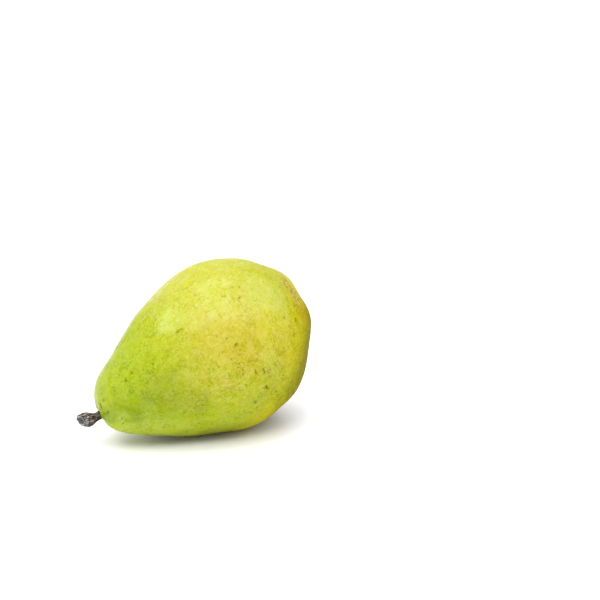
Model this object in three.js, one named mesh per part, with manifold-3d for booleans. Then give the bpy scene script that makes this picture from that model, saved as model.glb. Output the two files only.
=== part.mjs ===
// A whole pear lying on its side: the fruit in its skin, the woody stem and the dried calyx.
//
// Millimetres, +Z up. The origin lies on the small flat spot that the pear rests on, and +X runs
// level from the stem end towards the blossom end. The fruit grew round a straight core line, which
// rises from the stem end to the blossom end. Every piece is shaped in the core frame first: x along
// the core line from the stem end, y level, z up and across.

import * as THREE from 'three';
import { mergeVertices } from 'three/addons/utils/BufferGeometryUtils.js';
import Module from 'manifold-3d';

const wasm = await Module();
wasm.setup();

// ---- How the pear lies ----
const CORE_TILT = THREE.MathUtils.degToRad(20.5); // the blossom end is the thick one, so it rides high
const CORE_START_X = -51.3; // where the core line begins, beyond the stem end
const CORE_START_Z = 15.1; // its height above the surface

// ---- The fruit ----
const CORE_LENGTH = 102; // end to end, before the hollows at the two ends
const PROFILE_TERMS = [31.2, -5.9, -3.6, 2.1]; // mean radius, then what narrows the stem end
const CAVITY_DEPTH = 1.2; // stem cavity, pressed in round the stem
const CAVITY_WIDTH = 3.5;
const BASIN_DEPTH = 10; // blossom basin
const BASIN_WIDTH = 8;
const OVAL = { share: 0.01, count: 2, turn: THREE.MathUtils.degToRad(-25) }; // uneven growth
const THREE_SIDED = { share: 0.025, count: 3, turn: THREE.MathUtils.degToRad(-160) };
const SHOULDERS = { share: 0.05, count: 5, turn: THREE.MathUtils.degToRad(-20) }; // one for each seed cell
const SHOULDER_START = 0.55; // share of the core length where the shoulders begin to swell
const FRUIT_STATIONS = 46; // rings along the core line
const FRUIT_SIDES = 72;

// ---- The stem ----
const STEM_FOOT = 1.2; // how far along the core line the stem leaves the flesh
const STEM_SIDE = 2; // its foot sits to one side of the core line
const STEM_DROP = 1.3; // and a little under it
const STEM_LENGTH = 8.4; // from there to the middle of the end face
const STEM_BEND = THREE.MathUtils.degToRad(28); // it curves up out of the core line
const STEM_ROOT_DEPTH = 6; // how far the root runs into the flesh
const STEM_ROOT_RADIUS = 1.7;
const STEM_WAIST_RADIUS = 1.6;
const STEM_FLARE_RADIUS = 2.85; // the swollen joint where it let go of the spur
const STEM_FACE_RADIUS = 1.9;
const STEM_WAIST_AT = 0.16; // shares of the length where the waist is narrowest,
const STEM_FLARE_AT = 0.64; // where the flare is full,
const STEM_ROUNDING_AT = 0.7; // and where it starts to round over to the end face
const STEM_FACE_DISH = 0.3; // the end face is slightly hollow
const STEM_UP_SLANT = 0.3; // the end face leans: millimetres of length gained per millimetre up,
const STEM_SIDE_SLANT = 0.5; // and per millimetre to the far side
const BARK_RIDGES = [{ share: 0.06, count: 5, twist: 0.12 }, { share: 0.04, count: 9, twist: -0.2 }];
const STEM_STATIONS = 26;
const STEM_SIDES = 30;

// ---- The calyx ----
const CALYX_ROOT_DEPTH = 3;
const CALYX_CUP_RADIUS = 2.1;
const CALYX_CUP_HEIGHT = 1.5;
const SEPAL_COUNT = 5;
const SEPAL_WIDTH = 2.9;
const SEPAL_THICKNESS = 0.75;
const SEPAL_CUPPING = 0.35; // how far the middle of a sepal sinks below its edges
const SEPAL_FOOT = { out: 1.2, up: 0.9 }; // control points of its curl, from the basin floor
const SEPAL_KNEE = { out: 3.0, up: 3.4 };
const SEPAL_TIP = { out: 5.8, up: 4.3 };
const SEPAL_STEPS_LONG = 7;
const SEPAL_STEPS_WIDE = 4;

const SOCKET_GAP = 0.3; // clearance between a root and the hole it stands in

// Turns a closed geometry into a solid that can be joined and cut. Triangles that shrank to a line at
// a pole are left out.
function toSolid(geometry) {
  const bare = geometry.clone();
  bare.deleteAttribute('normal');
  bare.deleteAttribute('uv');
  const merged = mergeVertices(bare, 1e-4);
  const corners = merged.index.array;
  const kept = [];
  for (let i = 0; i < corners.length; i += 3) {
    const [a, b, c] = [corners[i], corners[i + 1], corners[i + 2]];
    if (a !== b && b !== c && c !== a) kept.push(a, b, c);
  }
  return new wasm.Manifold(new wasm.Mesh({
    numProp: 3,
    vertProperties: new Float32Array(merged.attributes.position.array),
    triVerts: new Uint32Array(kept),
  }));
}

function toGeometry(solid) {
  const mesh = solid.getMesh();
  const geometry = new THREE.BufferGeometry();
  geometry.setAttribute('position', new THREE.BufferAttribute(mesh.vertProperties, 3));
  geometry.setIndex(new THREE.BufferAttribute(mesh.triVerts, 1));
  geometry.computeVertexNormals();
  return geometry;
}

// Moves every vertex of a geometry to where the rule sends it.
function reshape(geometry, rule) {
  const positions = geometry.attributes.position;
  const point = new THREE.Vector3();
  for (let i = 0; i < positions.count; i++) {
    rule(point.fromBufferAttribute(positions, i));
    positions.setXYZ(i, point.x, point.y, point.z);
  }
  return geometry;
}

// The core frame seen from the part frame.
function coreMatrix() {
  const turn = new THREE.Matrix4().makeRotationY(-CORE_TILT);
  return new THREE.Matrix4().makeTranslation(CORE_START_X, 0, CORE_START_Z).multiply(turn);
}

// A plain round hole beside the core line, from one distance along it to another.
function hole(radius, from, to, side, height) {
  const cutter = new THREE.CylinderGeometry(radius, radius, to - from, STEM_SIDES);
  cutter.rotateZ(-Math.PI / 2);
  cutter.translate((from + to) / 2, side, height);
  return toSolid(cutter.applyMatrix4(coreMatrix()));
}

// ---- Fruit ----

// The profile swings from t = 0 at the stem end to t = pi at the blossom end. Its radius is sin t
// times a cosine series, which makes a round end at both poles and a neck between them.
function fruitProfile() {
  const points = [];
  for (let i = 0; i <= FRUIT_STATIONS; i++) {
    const t = (Math.PI * i) / FRUIT_STATIONS;
    const series = PROFILE_TERMS.reduce((sum, term, k) => sum + term * Math.cos(k * t), 0);
    points.push(new THREE.Vector2(Math.sin(t) * series, (CORE_LENGTH / 2) * (1 - Math.cos(t))));
  }
  return points;
}

// Uneven growth: the section is slightly oval and three-sided, and swells into five shoulders
// towards the blossom end. Then the two end hollows are pressed in, one round the stem and one round
// the core line.
function growUnevenly(point) {
  const around = Math.atan2(point.y, point.z);
  const share = THREE.MathUtils.clamp(point.x / CORE_LENGTH, 0, 1);
  const t = Math.acos(1 - 2 * share);
  const swell = THREE.MathUtils.clamp((share - SHOULDER_START) / (1 - SHOULDER_START), 0, 1) ** 2;
  const wave = ({ share: size, count, turn }) => size * Math.cos(count * (around - turn));
  const factor = 1 + wave(OVAL) + wave(THREE_SIDED) * Math.sin(t) + wave(SHOULDERS) * swell;
  point.y *= factor;
  point.z *= factor;
  const fromStem = Math.hypot(point.y - STEM_SIDE, point.z + STEM_DROP);
  const fromCore = Math.hypot(point.y, point.z);
  if (t < Math.PI / 2) point.x += CAVITY_DEPTH * Math.exp(-((fromStem / CAVITY_WIDTH) ** 2));
  else point.x -= BASIN_DEPTH * Math.exp(-((fromCore / BASIN_WIDTH) ** 2));
}

// The fruit is cut flat where it rests, and drilled where the stem and the calyx are rooted.
function fruit() {
  const grown = new THREE.LatheGeometry(fruitProfile(), FRUIT_SIDES);
  grown.rotateZ(-Math.PI / 2);
  reshape(grown, growUnevenly);
  grown.applyMatrix4(coreMatrix());
  const ground = new THREE.BoxGeometry(2 * CORE_LENGTH, 2 * CORE_LENGTH, CORE_LENGTH);
  ground.translate(0, 0, -CORE_LENGTH / 2);
  const stemHoleEnd = STEM_FOOT + STEM_ROOT_DEPTH + SOCKET_GAP;
  const stemHole = hole(STEM_ROOT_RADIUS + SOCKET_GAP, -CAVITY_DEPTH, stemHoleEnd, STEM_SIDE, -STEM_DROP);
  const calyxHoleEnd = CORE_LENGTH - BASIN_DEPTH - CALYX_ROOT_DEPTH - SOCKET_GAP;
  const calyxHole = hole(CALYX_CUP_RADIUS + SOCKET_GAP, calyxHoleEnd, CORE_LENGTH, 0, 0);
  return toSolid(grown).subtract(toSolid(ground)).subtract(stemHole).subtract(calyxHole);
}

// ---- Stem ----

// Radius of the straight stem: the root narrows to the waist, swells to the flare and rounds over
// like a quarter ellipse to the end face.
function stemRadius(along) {
  const { smoothstep, clamp } = THREE.MathUtils;
  const waist = smoothstep(along, 0, STEM_WAIST_AT * STEM_LENGTH);
  const flare = smoothstep(along, STEM_WAIST_AT * STEM_LENGTH, STEM_FLARE_AT * STEM_LENGTH);
  const end = clamp((along / STEM_LENGTH - STEM_ROUNDING_AT) / (1 - STEM_ROUNDING_AT), 0, 1);
  const swollen = STEM_ROOT_RADIUS + (STEM_WAIST_RADIUS - STEM_ROOT_RADIUS) * waist
    + (STEM_FLARE_RADIUS - STEM_WAIST_RADIUS) * flare;
  return swollen - (STEM_FLARE_RADIUS - STEM_FACE_RADIUS) * (1 - Math.sqrt(1 - end ** 2));
}

function stemProfile() {
  const points = [new THREE.Vector2(0, -STEM_ROOT_DEPTH)];
  for (let i = 0; i <= STEM_STATIONS; i++) {
    const along = -STEM_ROOT_DEPTH + ((STEM_LENGTH + STEM_ROOT_DEPTH) * i) / STEM_STATIONS;
    points.push(new THREE.Vector2(stemRadius(along), along));
  }
  points.push(new THREE.Vector2(0, STEM_LENGTH - STEM_FACE_DISH));
  return points;
}

// Bark ridges run along the stem and twist slowly. They fade out towards the root, and the end face
// leans. Last, the straight stem is bent round a circle, with its upper side on the inside.
function bendStem(point) {
  const along = point.y;
  const around = Math.atan2(point.x, point.z);
  const fade = THREE.MathUtils.smoothstep(along, 0, 0.3 * STEM_LENGTH);
  const wave = ({ share, count, twist }) => share * Math.cos(count * around + count * twist * along);
  const factor = 1 + fade * BARK_RIDGES.reduce((sum, ridge) => sum + wave(ridge), 0);
  const side = point.x * factor;
  const up = point.z * factor;
  const slant = STEM_UP_SLANT * up + STEM_SIDE_SLANT * side;
  const leaning = along + slant * THREE.MathUtils.smoothstep(along, 0.4 * STEM_LENGTH, STEM_LENGTH);
  const circle = STEM_LENGTH / STEM_BEND;
  const angle = Math.max(leaning, 0) / circle;
  const reach = leaning > 0 ? (circle - up) * Math.sin(angle) : leaning;
  const rise = circle - (circle - up) * Math.cos(angle);
  point.set(STEM_FOOT - reach, STEM_SIDE + side, rise - STEM_DROP);
}

function stem() {
  return toSolid(reshape(new THREE.LatheGeometry(stemProfile(), STEM_SIDES), bendStem));
}

// ---- Calyx ----

// The little cup on the basin floor, with a plain root and a domed middle where the stamens stood.
function calyxCup() {
  const dome = new THREE.QuadraticBezierCurve(
    new THREE.Vector2(CALYX_CUP_RADIUS, 0.6 * CALYX_CUP_HEIGHT),
    new THREE.Vector2(0.9 * CALYX_CUP_RADIUS, CALYX_CUP_HEIGHT),
    new THREE.Vector2(0, CALYX_CUP_HEIGHT),
  );
  const profile = [
    new THREE.Vector2(0, -CALYX_ROOT_DEPTH),
    new THREE.Vector2(CALYX_CUP_RADIUS, -CALYX_ROOT_DEPTH),
    ...dome.getPoints(4),
  ];
  return toSolid(new THREE.LatheGeometry(profile, STEM_SIDES).rotateX(Math.PI / 2));
}

// One sepal: a thin bar whose length follows the curl, whose width swells and then narrows to a
// blunt point, and whose section is cupped. The bar's z side is its thickness.
function sepal(turn) {
  const curl = new THREE.QuadraticBezierCurve(
    new THREE.Vector2(SEPAL_FOOT.out, SEPAL_FOOT.up),
    new THREE.Vector2(SEPAL_KNEE.out, SEPAL_KNEE.up),
    new THREE.Vector2(SEPAL_TIP.out, SEPAL_TIP.up),
  );
  const bar = new THREE.BoxGeometry(1, 1, 1, SEPAL_STEPS_WIDE, SEPAL_STEPS_LONG, 1);
  reshape(bar, (point) => {
    const length = point.y + 0.5;
    const width = SEPAL_WIDTH * (0.2 + 0.8 * Math.sin(Math.PI * (0.3 + 0.66 * length)));
    const lift = SEPAL_THICKNESS * point.z + SEPAL_CUPPING * (2 * point.x) ** 2;
    const spine = curl.getPoint(length);
    const heading = curl.getTangent(length);
    point.set(width * point.x, spine.x - heading.y * lift, spine.y + heading.x * lift);
  });
  return toSolid(bar.rotateZ(turn));
}

// The calyx is made pointing up, then turned to point out along the core line.
function calyx() {
  let solid = calyxCup();
  for (let i = 0; i < SEPAL_COUNT; i++) solid = solid.add(sepal((2 * Math.PI * i) / SEPAL_COUNT));
  return solid;
}

// ---- Assembly ----

function piece(name, solid, color, roughness) {
  const finish = new THREE.MeshStandardMaterial({ color, roughness, metalness: 0 });
  const mesh = new THREE.Mesh(toGeometry(solid), finish);
  mesh.name = name;
  return mesh;
}

const fruitMesh = piece('pear_body', fruit(), 0xb5bd45, 0.42);

const stemMesh = piece('stem', stem(), 0x4a4238, 0.85);

const calyxMesh = piece('calyx', calyx(), 0x4b3623, 0.9);
calyxMesh.rotation.y = Math.PI / 2;
calyxMesh.position.x = CORE_LENGTH - BASIN_DEPTH;

const core = new THREE.Group();
core.position.set(CORE_START_X, 0, CORE_START_Z);
core.rotation.y = -CORE_TILT;
core.add(stemMesh, calyxMesh);

const pear = new THREE.Group();
pear.add(fruitMesh, core);

export default pear;
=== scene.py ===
# %% [markdown]
# # A green pear lying on its side
#
# This lesson dresses a pear that already exists as plain, faceted solids: the fruit, its stem and
# its dried calyx. The solids fix the place and the size of everything. Here each of them is
# replaced by a finer surface worked out with numpy from the same formulas, and painted with
# materials made only of nodes.
#
# The frame comes first. It is loaded once.

# %% Load the frame
import math

import bpy
import numpy as np
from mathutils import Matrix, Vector


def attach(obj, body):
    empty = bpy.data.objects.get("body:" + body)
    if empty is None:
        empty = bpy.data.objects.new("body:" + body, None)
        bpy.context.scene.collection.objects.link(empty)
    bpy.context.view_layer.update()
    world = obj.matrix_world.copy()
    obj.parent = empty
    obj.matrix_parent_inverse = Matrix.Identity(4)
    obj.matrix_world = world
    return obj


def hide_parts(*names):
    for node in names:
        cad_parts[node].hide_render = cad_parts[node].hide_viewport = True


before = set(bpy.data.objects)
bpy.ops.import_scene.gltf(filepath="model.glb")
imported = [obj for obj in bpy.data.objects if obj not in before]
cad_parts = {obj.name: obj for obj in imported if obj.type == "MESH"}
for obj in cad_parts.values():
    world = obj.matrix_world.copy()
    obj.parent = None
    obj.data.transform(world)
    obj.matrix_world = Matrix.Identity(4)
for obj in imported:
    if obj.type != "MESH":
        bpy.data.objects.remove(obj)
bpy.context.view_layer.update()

# %% [markdown]
# ## How the pear lies
#
# A pear grows round a core line. Ours lies on its side, so the core line rises from the stem end,
# which is thin and sinks low, to the blossom end, which is thick. Everything is shaped in the core
# frame, x along the core line, y level and z up and across, and then tilted into place. Sizes are
# written in millimetres and turned into Blender's metres by one factor.

# %% The core frame
MM = 0.001
CORE_TILT = math.radians(20.5)
CORE_START = np.array([-51.3, 0.0, 15.1])
CORE_LENGTH = 102.0


def to_part(points):
    """Tilts core points about the y axis, moves them to the core's start and makes them metres."""
    along, level, across = np.moveaxis(np.asarray(points, float), -1, 0)
    x = along * math.cos(CORE_TILT) - across * math.sin(CORE_TILT)
    z = along * math.sin(CORE_TILT) + across * math.cos(CORE_TILT)
    return (np.stack([x, level, z], -1) + CORE_START) * MM


print("stem end of the core, mm:", CORE_START, "blossom end:", to_part([CORE_LENGTH, 0, 0]) / MM)

# %% [markdown]
# ## From rings of points to faces
#
# A fruit, a stem and a sepal are all closed skins that can be swept by rings: one parameter runs
# from ring to ring and the other runs round each ring. The first and last rings shrink to a single
# vertex, which closes the poles. Four-sided faces join the rings between, and a fan of triangles
# fills each pole. Primitives or a lathe could give a plain turned body, but not one whose section
# changes all the way along, so the faces are worked out here for any grid of points.

# %% Faces of a ring grid


def ring_steps(start, end, rings, sides):
    """Even steps from ring to ring, as a column, and the angles round a ring, as a row."""
    angles = np.linspace(0, 2 * math.pi, sides, endpoint=False)
    return np.linspace(start, end, rings)[:, None], angles[None]


def enclosed_volume(vertices, triangles):
    """One sixth of the sum of a . (b x c) over all triangles, positive when they face outwards."""
    a, b, c = (vertices[triangles[:, k]] for k in range(3))
    return float(np.einsum("ij,ij->", a, np.cross(b, c)) / 6)


def ring_faces(ring_count, sides):
    """Quads between neighbouring rings and a fan of triangles at each pole, as index arrays."""
    ring, side = np.meshgrid(np.arange(ring_count - 3), np.arange(sides), indexing="ij")
    here = 1 + ring * sides + side
    beside = 1 + ring * sides + (side + 1) % sides
    quads = np.stack([here, here + sides, beside + sides, beside], -1).reshape(-1, 4)
    first = 1 + np.arange(sides)
    first_beside = 1 + (np.arange(sides) + 1) % sides
    last_start = (ring_count - 3) * sides
    tip = 1 + (ring_count - 2) * sides
    start_fan = np.stack([np.zeros(sides, int), first, first_beside], -1)
    end_fan = np.stack([np.full(sides, tip), first_beside + last_start, first + last_start], -1)
    return quads, np.vstack([start_fan, end_fan])


def closed(values):
    """Lists the values of a ring grid by vertex, with the first and last rings shrunk to their mean."""
    start = values[0].mean(0, keepdims=True)
    end = values[-1].mean(0, keepdims=True)
    return np.concatenate([start, values[1:-1].reshape(-1, *values.shape[2:]), end])


print("a sweep of 5 rings with 4 sides has faces:", [len(part) for part in ring_faces(5, 4)])

# %% [markdown]
# ## From faces to a piece
#
# One piece may hold several such skins, as the calyx does. If the volume that a skin encloses comes
# out negative its faces are turned round, so they always point outwards. Numbers that a material
# needs later, such as a place along the core, are stored on the vertices as attributes.

# %% Piece from skins


def swept_piece(name, skins):
    """Makes one smooth piece from skins, each a ring grid (ring, side, xyz) and its attributes."""
    vertices, faces, stored = [], [], {}
    triangle_count, volume, start = 0, 0.0, 0
    for rings, attributes in skins:
        points = closed(rings)
        quads, fans = ring_faces(*rings.shape[:2])
        triangles = np.vstack([quads[:, [0, 1, 2]], quads[:, [0, 2, 3]], fans])
        enclosed = enclosed_volume(points, triangles)
        order = 1 if enclosed > 0 else -1
        faces += (quads[:, ::order] + start).tolist() + (fans[:, ::order] + start).tolist()
        for key, values in attributes.items():
            stored.setdefault(key, []).append(closed(values))
        vertices.append(points)
        triangle_count += len(triangles)
        volume += abs(enclosed)
        start += len(points)
    mesh = bpy.data.meshes.new(name)
    mesh.from_pydata(np.concatenate(vertices).tolist(), [], faces)
    mesh.polygons.foreach_set("use_smooth", np.ones(len(mesh.polygons), bool))
    for key, parts in stored.items():
        values = np.concatenate(parts)
        kind, field = ("FLOAT_VECTOR", "vector") if values.ndim == 2 else ("FLOAT", "value")
        mesh.attributes.new(key, kind, "POINT").data.foreach_set(field, values.ravel())
    piece = bpy.data.objects.new(name, mesh)
    bpy.context.scene.collection.objects.link(piece)
    print(name, triangle_count, "triangles,", round(volume * 1e6, 2), "cm3")
    return piece


# %% [markdown]
# ## The camera
#
# The camera looks down on the pear by some fifteen degrees, from a little to the stem's side, with
# a short telephoto lens, which keeps the pear's shape true.

# %% Camera
CAMERA_PLACE = np.array([-205.9, -415.5, 182.7])
CAMERA_TURN = math.radians(31.0)
CAMERA_DIP = math.radians(15.32)

camera_data = bpy.data.cameras.new("camera")
camera_data.lens = 69.0
camera_data.sensor_width = 36.0
camera_data.clip_start = 0.01
camera = bpy.data.objects.new("camera", camera_data)
camera.location = CAMERA_PLACE * MM
camera.rotation_euler = (math.pi / 2 - CAMERA_DIP, 0.0, -CAMERA_TURN)
bpy.context.scene.collection.objects.link(camera)
bpy.context.scene.camera = camera
print("camera at, mm:", CAMERA_PLACE, "lens:", camera_data.lens)

# %% [markdown]
# ## Shader maths as Python: wires
#
# Materials are graphs of nodes, but they read best as formulas. A Wire wraps one output socket, and
# a sign between wires or numbers adds the Math node for it. The reflected forms are there too, so
# that 1 - mask works. Its step is the smooth threshold that most masks are cut with.

# %% Wires


class Wire:
    """An output socket of a node tree that takes part in arithmetic."""

    def __init__(self, paint, socket):
        self.paint = paint
        self.socket = socket

    def __add__(self, other):
        return self.paint.math("ADD", self, other)

    def __sub__(self, other):
        return self.paint.math("SUBTRACT", self, other)

    def __mul__(self, other):
        return self.paint.math("MULTIPLY", self, other)

    def __truediv__(self, other):
        return self.paint.math("DIVIDE", self, other)

    def __rsub__(self, other):
        return self.paint.math("SUBTRACT", other, self)

    __radd__ = __add__
    __rmul__ = __mul__

    def step(self, low, high):
        """0 below low, 1 above high and a smooth S between them; low may be the larger."""
        settings = {"interpolation_type": "SMOOTHSTEP"}
        values = {"Value": self, "From Min": low, "From Max": high}
        return self.paint.node("MapRange", settings, values)


print("a wire knows:", [name.strip("_") for name, kind in vars(Wire).items() if callable(kind)])

# %% [markdown]
# ## Shader maths as Python: paints
#
# A Paint wraps a material, or the world, and has one method that makes any node: its settings are
# set first, then its sockets are filled with numbers or linked to wires. The nodes that come up most
# have short methods of their own. Colours are given as the screen shows them, and are turned into
# the linear values that the renderer adds up.

# %% Paints


class Paint:
    """A material, or a world, under construction: makes its nodes and fills its shader."""

    def __init__(self, name, kind="materials", shader="Principled BSDF"):
        self.material = getattr(bpy.data, kind).new(name)
        self.material.use_nodes = True
        self.tree = self.material.node_tree
        self.shader = self.tree.nodes[shader]

    def node(self, kind, settings=None, values=None, output=0):
        """Adds a node: settings first, then sockets by name or number, linked if given a Wire."""
        made = self.tree.nodes.new("ShaderNode" + kind)
        for key, value in (settings or {}).items():
            setattr(made, key, value)
        for key, value in (values or {}).items():
            self.fill(made.inputs[key], value)
        return Wire(self, made.outputs[output])

    def fill(self, socket, value):
        """Links a socket to a wire, or gives it a plain value."""
        if isinstance(value, Wire):
            self.tree.links.new(value.socket, socket)
        else:
            socket.default_value = value

    def math(self, operation, *operands):
        """Adds a Math node for numbers and wires."""
        values = dict(enumerate(operands))
        return self.node("Math", {"operation": operation}, values)

    def mix(self, share, under, over, blend="MIX"):
        """Lays one colour over another by a share from 0 to 1."""
        settings = {"data_type": "RGBA", "blend_type": blend}
        return self.node("Mix", settings, {0: share, 6: under, 7: over}, output=2)

    def stored(self, name, kind="Fac"):
        """What a piece stores on its vertices: Fac is one number and Vector is three."""
        made = self.node("Attribute", {"attribute_name": name})
        return Wire(self, made.socket.node.outputs[kind])

    def parts(self, vector):
        """The three numbers that a vector or a colour is made of."""
        split = self.node("SeparateXYZ", None, {0: vector})
        return [Wire(self, output) for output in split.socket.node.outputs]

    def noise(self, place, scale, detail=2.0, roughness=0.5, distortion=0.0):
        """Smooth random lumps round 0.5, with a scale in lumps per unit of the place."""
        values = {"Vector": place, "Scale": scale, "Detail": detail}
        values |= {"Roughness": roughness, "Distortion": distortion}
        return self.node("TexNoise", None, values)

    def finish(self, **sockets):
        """Fills the shader's own sockets, named as the shader shows them but in small letters."""
        for key, value in sockets.items():
            name = "IOR" if key == "ior" else key.replace("_", " ").title()
            self.fill(self.shader.inputs[name], value)
        return self.material


def colour(red, green, blue):
    """A screen colour, 0 to 255 a channel, as the linear values that the nodes work with."""
    screen = np.array([red, green, blue]) / 255
    linear = np.where(screen <= 0.04045, screen / 12.92, ((screen + 0.055) / 1.055) ** 2.4)
    return (*linear.tolist(), 1.0)


print("a screen grey of 128 in linear values:", colour(128, 128, 128))

# %% [markdown]
# ## The fruit's surface
#
# The profile is a round end at both poles with a neck between them: its radius is sin t times a
# short cosine series in t, and t runs from 0 at the stem end to pi at the blossom end. The section
# is then grown unevenly, slightly oval, slightly three-sided, and with five soft shoulders at the
# blossom end, one for each seed cell. Last the two hollows are pressed in along the core line.

# %% Fruit formulas
PROFILE_TERMS = [31.2, -5.9, -3.6, 2.1]
STEM_SIDE, STEM_DROP = 2.0, 1.3
CAVITY_DEPTH, CAVITY_WIDTH = 1.2, 3.5
BASIN_DEPTH, BASIN_WIDTH = 10.0, 8.0
OVAL = (0.01, 2, math.radians(-25))
THREE_SIDED = (0.025, 3, math.radians(-160))
SHOULDERS = (0.05, 5, math.radians(-20))
SHOULDER_START = 0.55


def bell(distance, width):
    """1 at the middle, falling like a bell curve with distance."""
    return np.exp(-((distance / width) ** 2))


def wave(growth, around):
    """Size times the cosine of count times the angle, counted from where the wave is turned to."""
    size, count, turn = growth
    return size * np.cos(count * (around - turn))


def fruit_core(t, around):
    """The fruit's skin in core millimetres, for swing t and angle around, as in the text above."""
    series = sum(term * np.cos(k * t) for k, term in enumerate(PROFILE_TERMS))
    along = CORE_LENGTH / 2 * (1 - np.cos(t)) + 0 * around
    swell = np.clip((along / CORE_LENGTH - SHOULDER_START) / (1 - SHOULDER_START), 0, 1) ** 2
    grown = 1 + wave(OVAL, around) + wave(THREE_SIDED, around) * np.sin(t)
    grown = grown + wave(SHOULDERS, around) * swell
    radius = np.sin(t) * series * grown
    level, across = radius * np.sin(around), radius * np.cos(around)
    from_stem = np.hypot(level - STEM_SIDE, across + STEM_DROP)
    cavity = CAVITY_DEPTH * bell(from_stem, CAVITY_WIDTH) * (t < math.pi / 2)
    basin = BASIN_DEPTH * bell(radius, BASIN_WIDTH) * (t >= math.pi / 2)
    return np.stack([along + cavity - basin, level, across], -1)


def on_skin(along, degrees):
    """The point of the skin that grew at a distance along the core, at an angle from the top."""
    return fruit_core(np.arccos(1 - 2 * np.asarray(along) / CORE_LENGTH), np.radians(degrees))


print("widest radius, mm:", round(float(fruit_core(np.linspace(0, math.pi, 99), 0)[:, 2].max()), 1))

# %% [markdown]
# ## Unevenness in the skin
#
# No pear is as smooth as its formula. Broad swellings a centimetre or two across catch the light as
# soft patches, and pebbling of a few millimetres breaks the gloss. Both are sums of plane waves in
# random directions, drawn with a seed so that they come out the same every time. A Displace modifier
# could do it too, but here the same formula also bends the scuffs.

# %% Ripples
SWELLINGS = {"wavelength": 19.0, "height": 0.2, "seed": 3}
PEBBLES = {"wavelength": 5.0, "height": 0.03, "seed": 8}


def ripples(points, wavelength, height, seed, count=28):
    """Sum of plane waves in random directions, each about a wavelength long; swings about +-height."""
    draw = np.random.default_rng(seed)
    headings = draw.normal(size=(count, 3))
    headings /= np.linalg.norm(headings, axis=1, keepdims=True)
    turns = 2 * math.pi / (wavelength * draw.uniform(0.7, 1.5, (count, 1)))
    phases = draw.uniform(0, 2 * math.pi, count)
    return height * math.sqrt(2 / count) * np.cos(points @ (headings * turns).T + phases).sum(-1)


print("swellings at the core's start, mm:", round(float(ripples(np.zeros(3), **SWELLINGS)), 3))

# %% [markdown]
# ## Puckers and furrows
#
# The skin is also puckered: in folds round the stem, where one short crease with a lip beside it
# runs over the rim, and in furrows that run down into the blossom basin. Each is a bump or a groove
# that fades with distance like a bell curve. They could be carved by hand with a brush, but then the
# solid and the skin would no longer share a formula.

# %% Relief of the skin
STEM_FOLDS = [(0.6, 5, -0.18), (0.4, 3, 1.3 / 3)]  # size, count, turn, as in the fruit's section
STEM_FOLD_HEIGHT, STEM_FOLD_WIDTH, STEM_RIM_RADIUS = 0.3, 1.3, 3.4
CREASE = ([1.7, -3.1, 5.1], [1.4, -3.9, 3.1])
CREASE_DEPTH, CREASE_WIDTH = 0.5, 0.55
LIP_PLACE = [1.3, -2.3, 3.6]
LIP_HEIGHT, LIP_WIDTH = 0.35, 1.1
FURROW_DEPTH, FURROW_RING, FURROW_WIDTH = 0.45, 6.0, 3.5
LOBE_WAVE, FINE_FURROW_WAVE = (0.5, 5, -0.08), (0.2, 19, 0)


def to_segment(points, start, end):
    """Distance from points to the straight line between two places."""
    start, end = np.asarray(start), np.asarray(end)
    line = end - start
    share = np.clip((points - start) @ line / max(line @ line, 1e-9), 0, 1)
    return np.linalg.norm(points - start - share[..., None] * line, axis=-1)


def outward(points):
    """Unit normals of a ring grid, from the steps along and around, turned away from the core line."""
    along = np.gradient(points, axis=0)
    around = np.roll(points, -1, 1) - np.roll(points, 1, 1)
    normals = np.cross(along, around)
    normals /= np.maximum(np.linalg.norm(normals, axis=-1, keepdims=True), 1e-9)
    return normals * np.sign((normals[..., 1:] * points[..., 1:]).sum())


def skin_relief(points):
    """How far the skin stands proud of its formula, mm: swellings, pebbles, stem folds and furrows."""
    radius = np.hypot(points[..., 1], points[..., 2])
    around = np.arctan2(points[..., 1], points[..., 2])
    stem_end = points[..., 0] < CORE_LENGTH / 2
    from_stem = np.hypot(points[..., 1] - STEM_SIDE, points[..., 2] + STEM_DROP)
    around_stem = np.arctan2(points[..., 1] - STEM_SIDE, points[..., 2] + STEM_DROP)
    folds = sum(wave(fold, around_stem) for fold in STEM_FOLDS)
    height = ripples(points, **SWELLINGS) + ripples(points, **PEBBLES)
    height += STEM_FOLD_HEIGHT * folds * bell(from_stem - STEM_RIM_RADIUS, STEM_FOLD_WIDTH) * stem_end
    height += LIP_HEIGHT * bell(to_segment(points, LIP_PLACE, LIP_PLACE), LIP_WIDTH)
    height -= CREASE_DEPTH * bell(to_segment(points, *CREASE), CREASE_WIDTH)
    spiral = around + radius / 3 / FINE_FURROW_WAVE[1]
    furrows = (0.5 - wave(LOBE_WAVE, around)) ** 2 + wave(FINE_FURROW_WAVE, spiral)
    height -= FURROW_DEPTH * furrows * bell(radius - FURROW_RING, FURROW_WIDTH) * ~stem_end
    return height


print("the crease's length, mm:", round(float(np.linalg.norm(np.subtract(*CREASE))), 2))


# %% [markdown]
# ## Scuffs
#
# A ripe pear carries little dark nicks where a twig or a neighbour rubbed it. Those on the side that
# faces the camera have their own places, lengths and headings, and the rest are scattered by a
# seeded draw. A streak of russet near the blossom end is placed in the same way.

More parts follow.
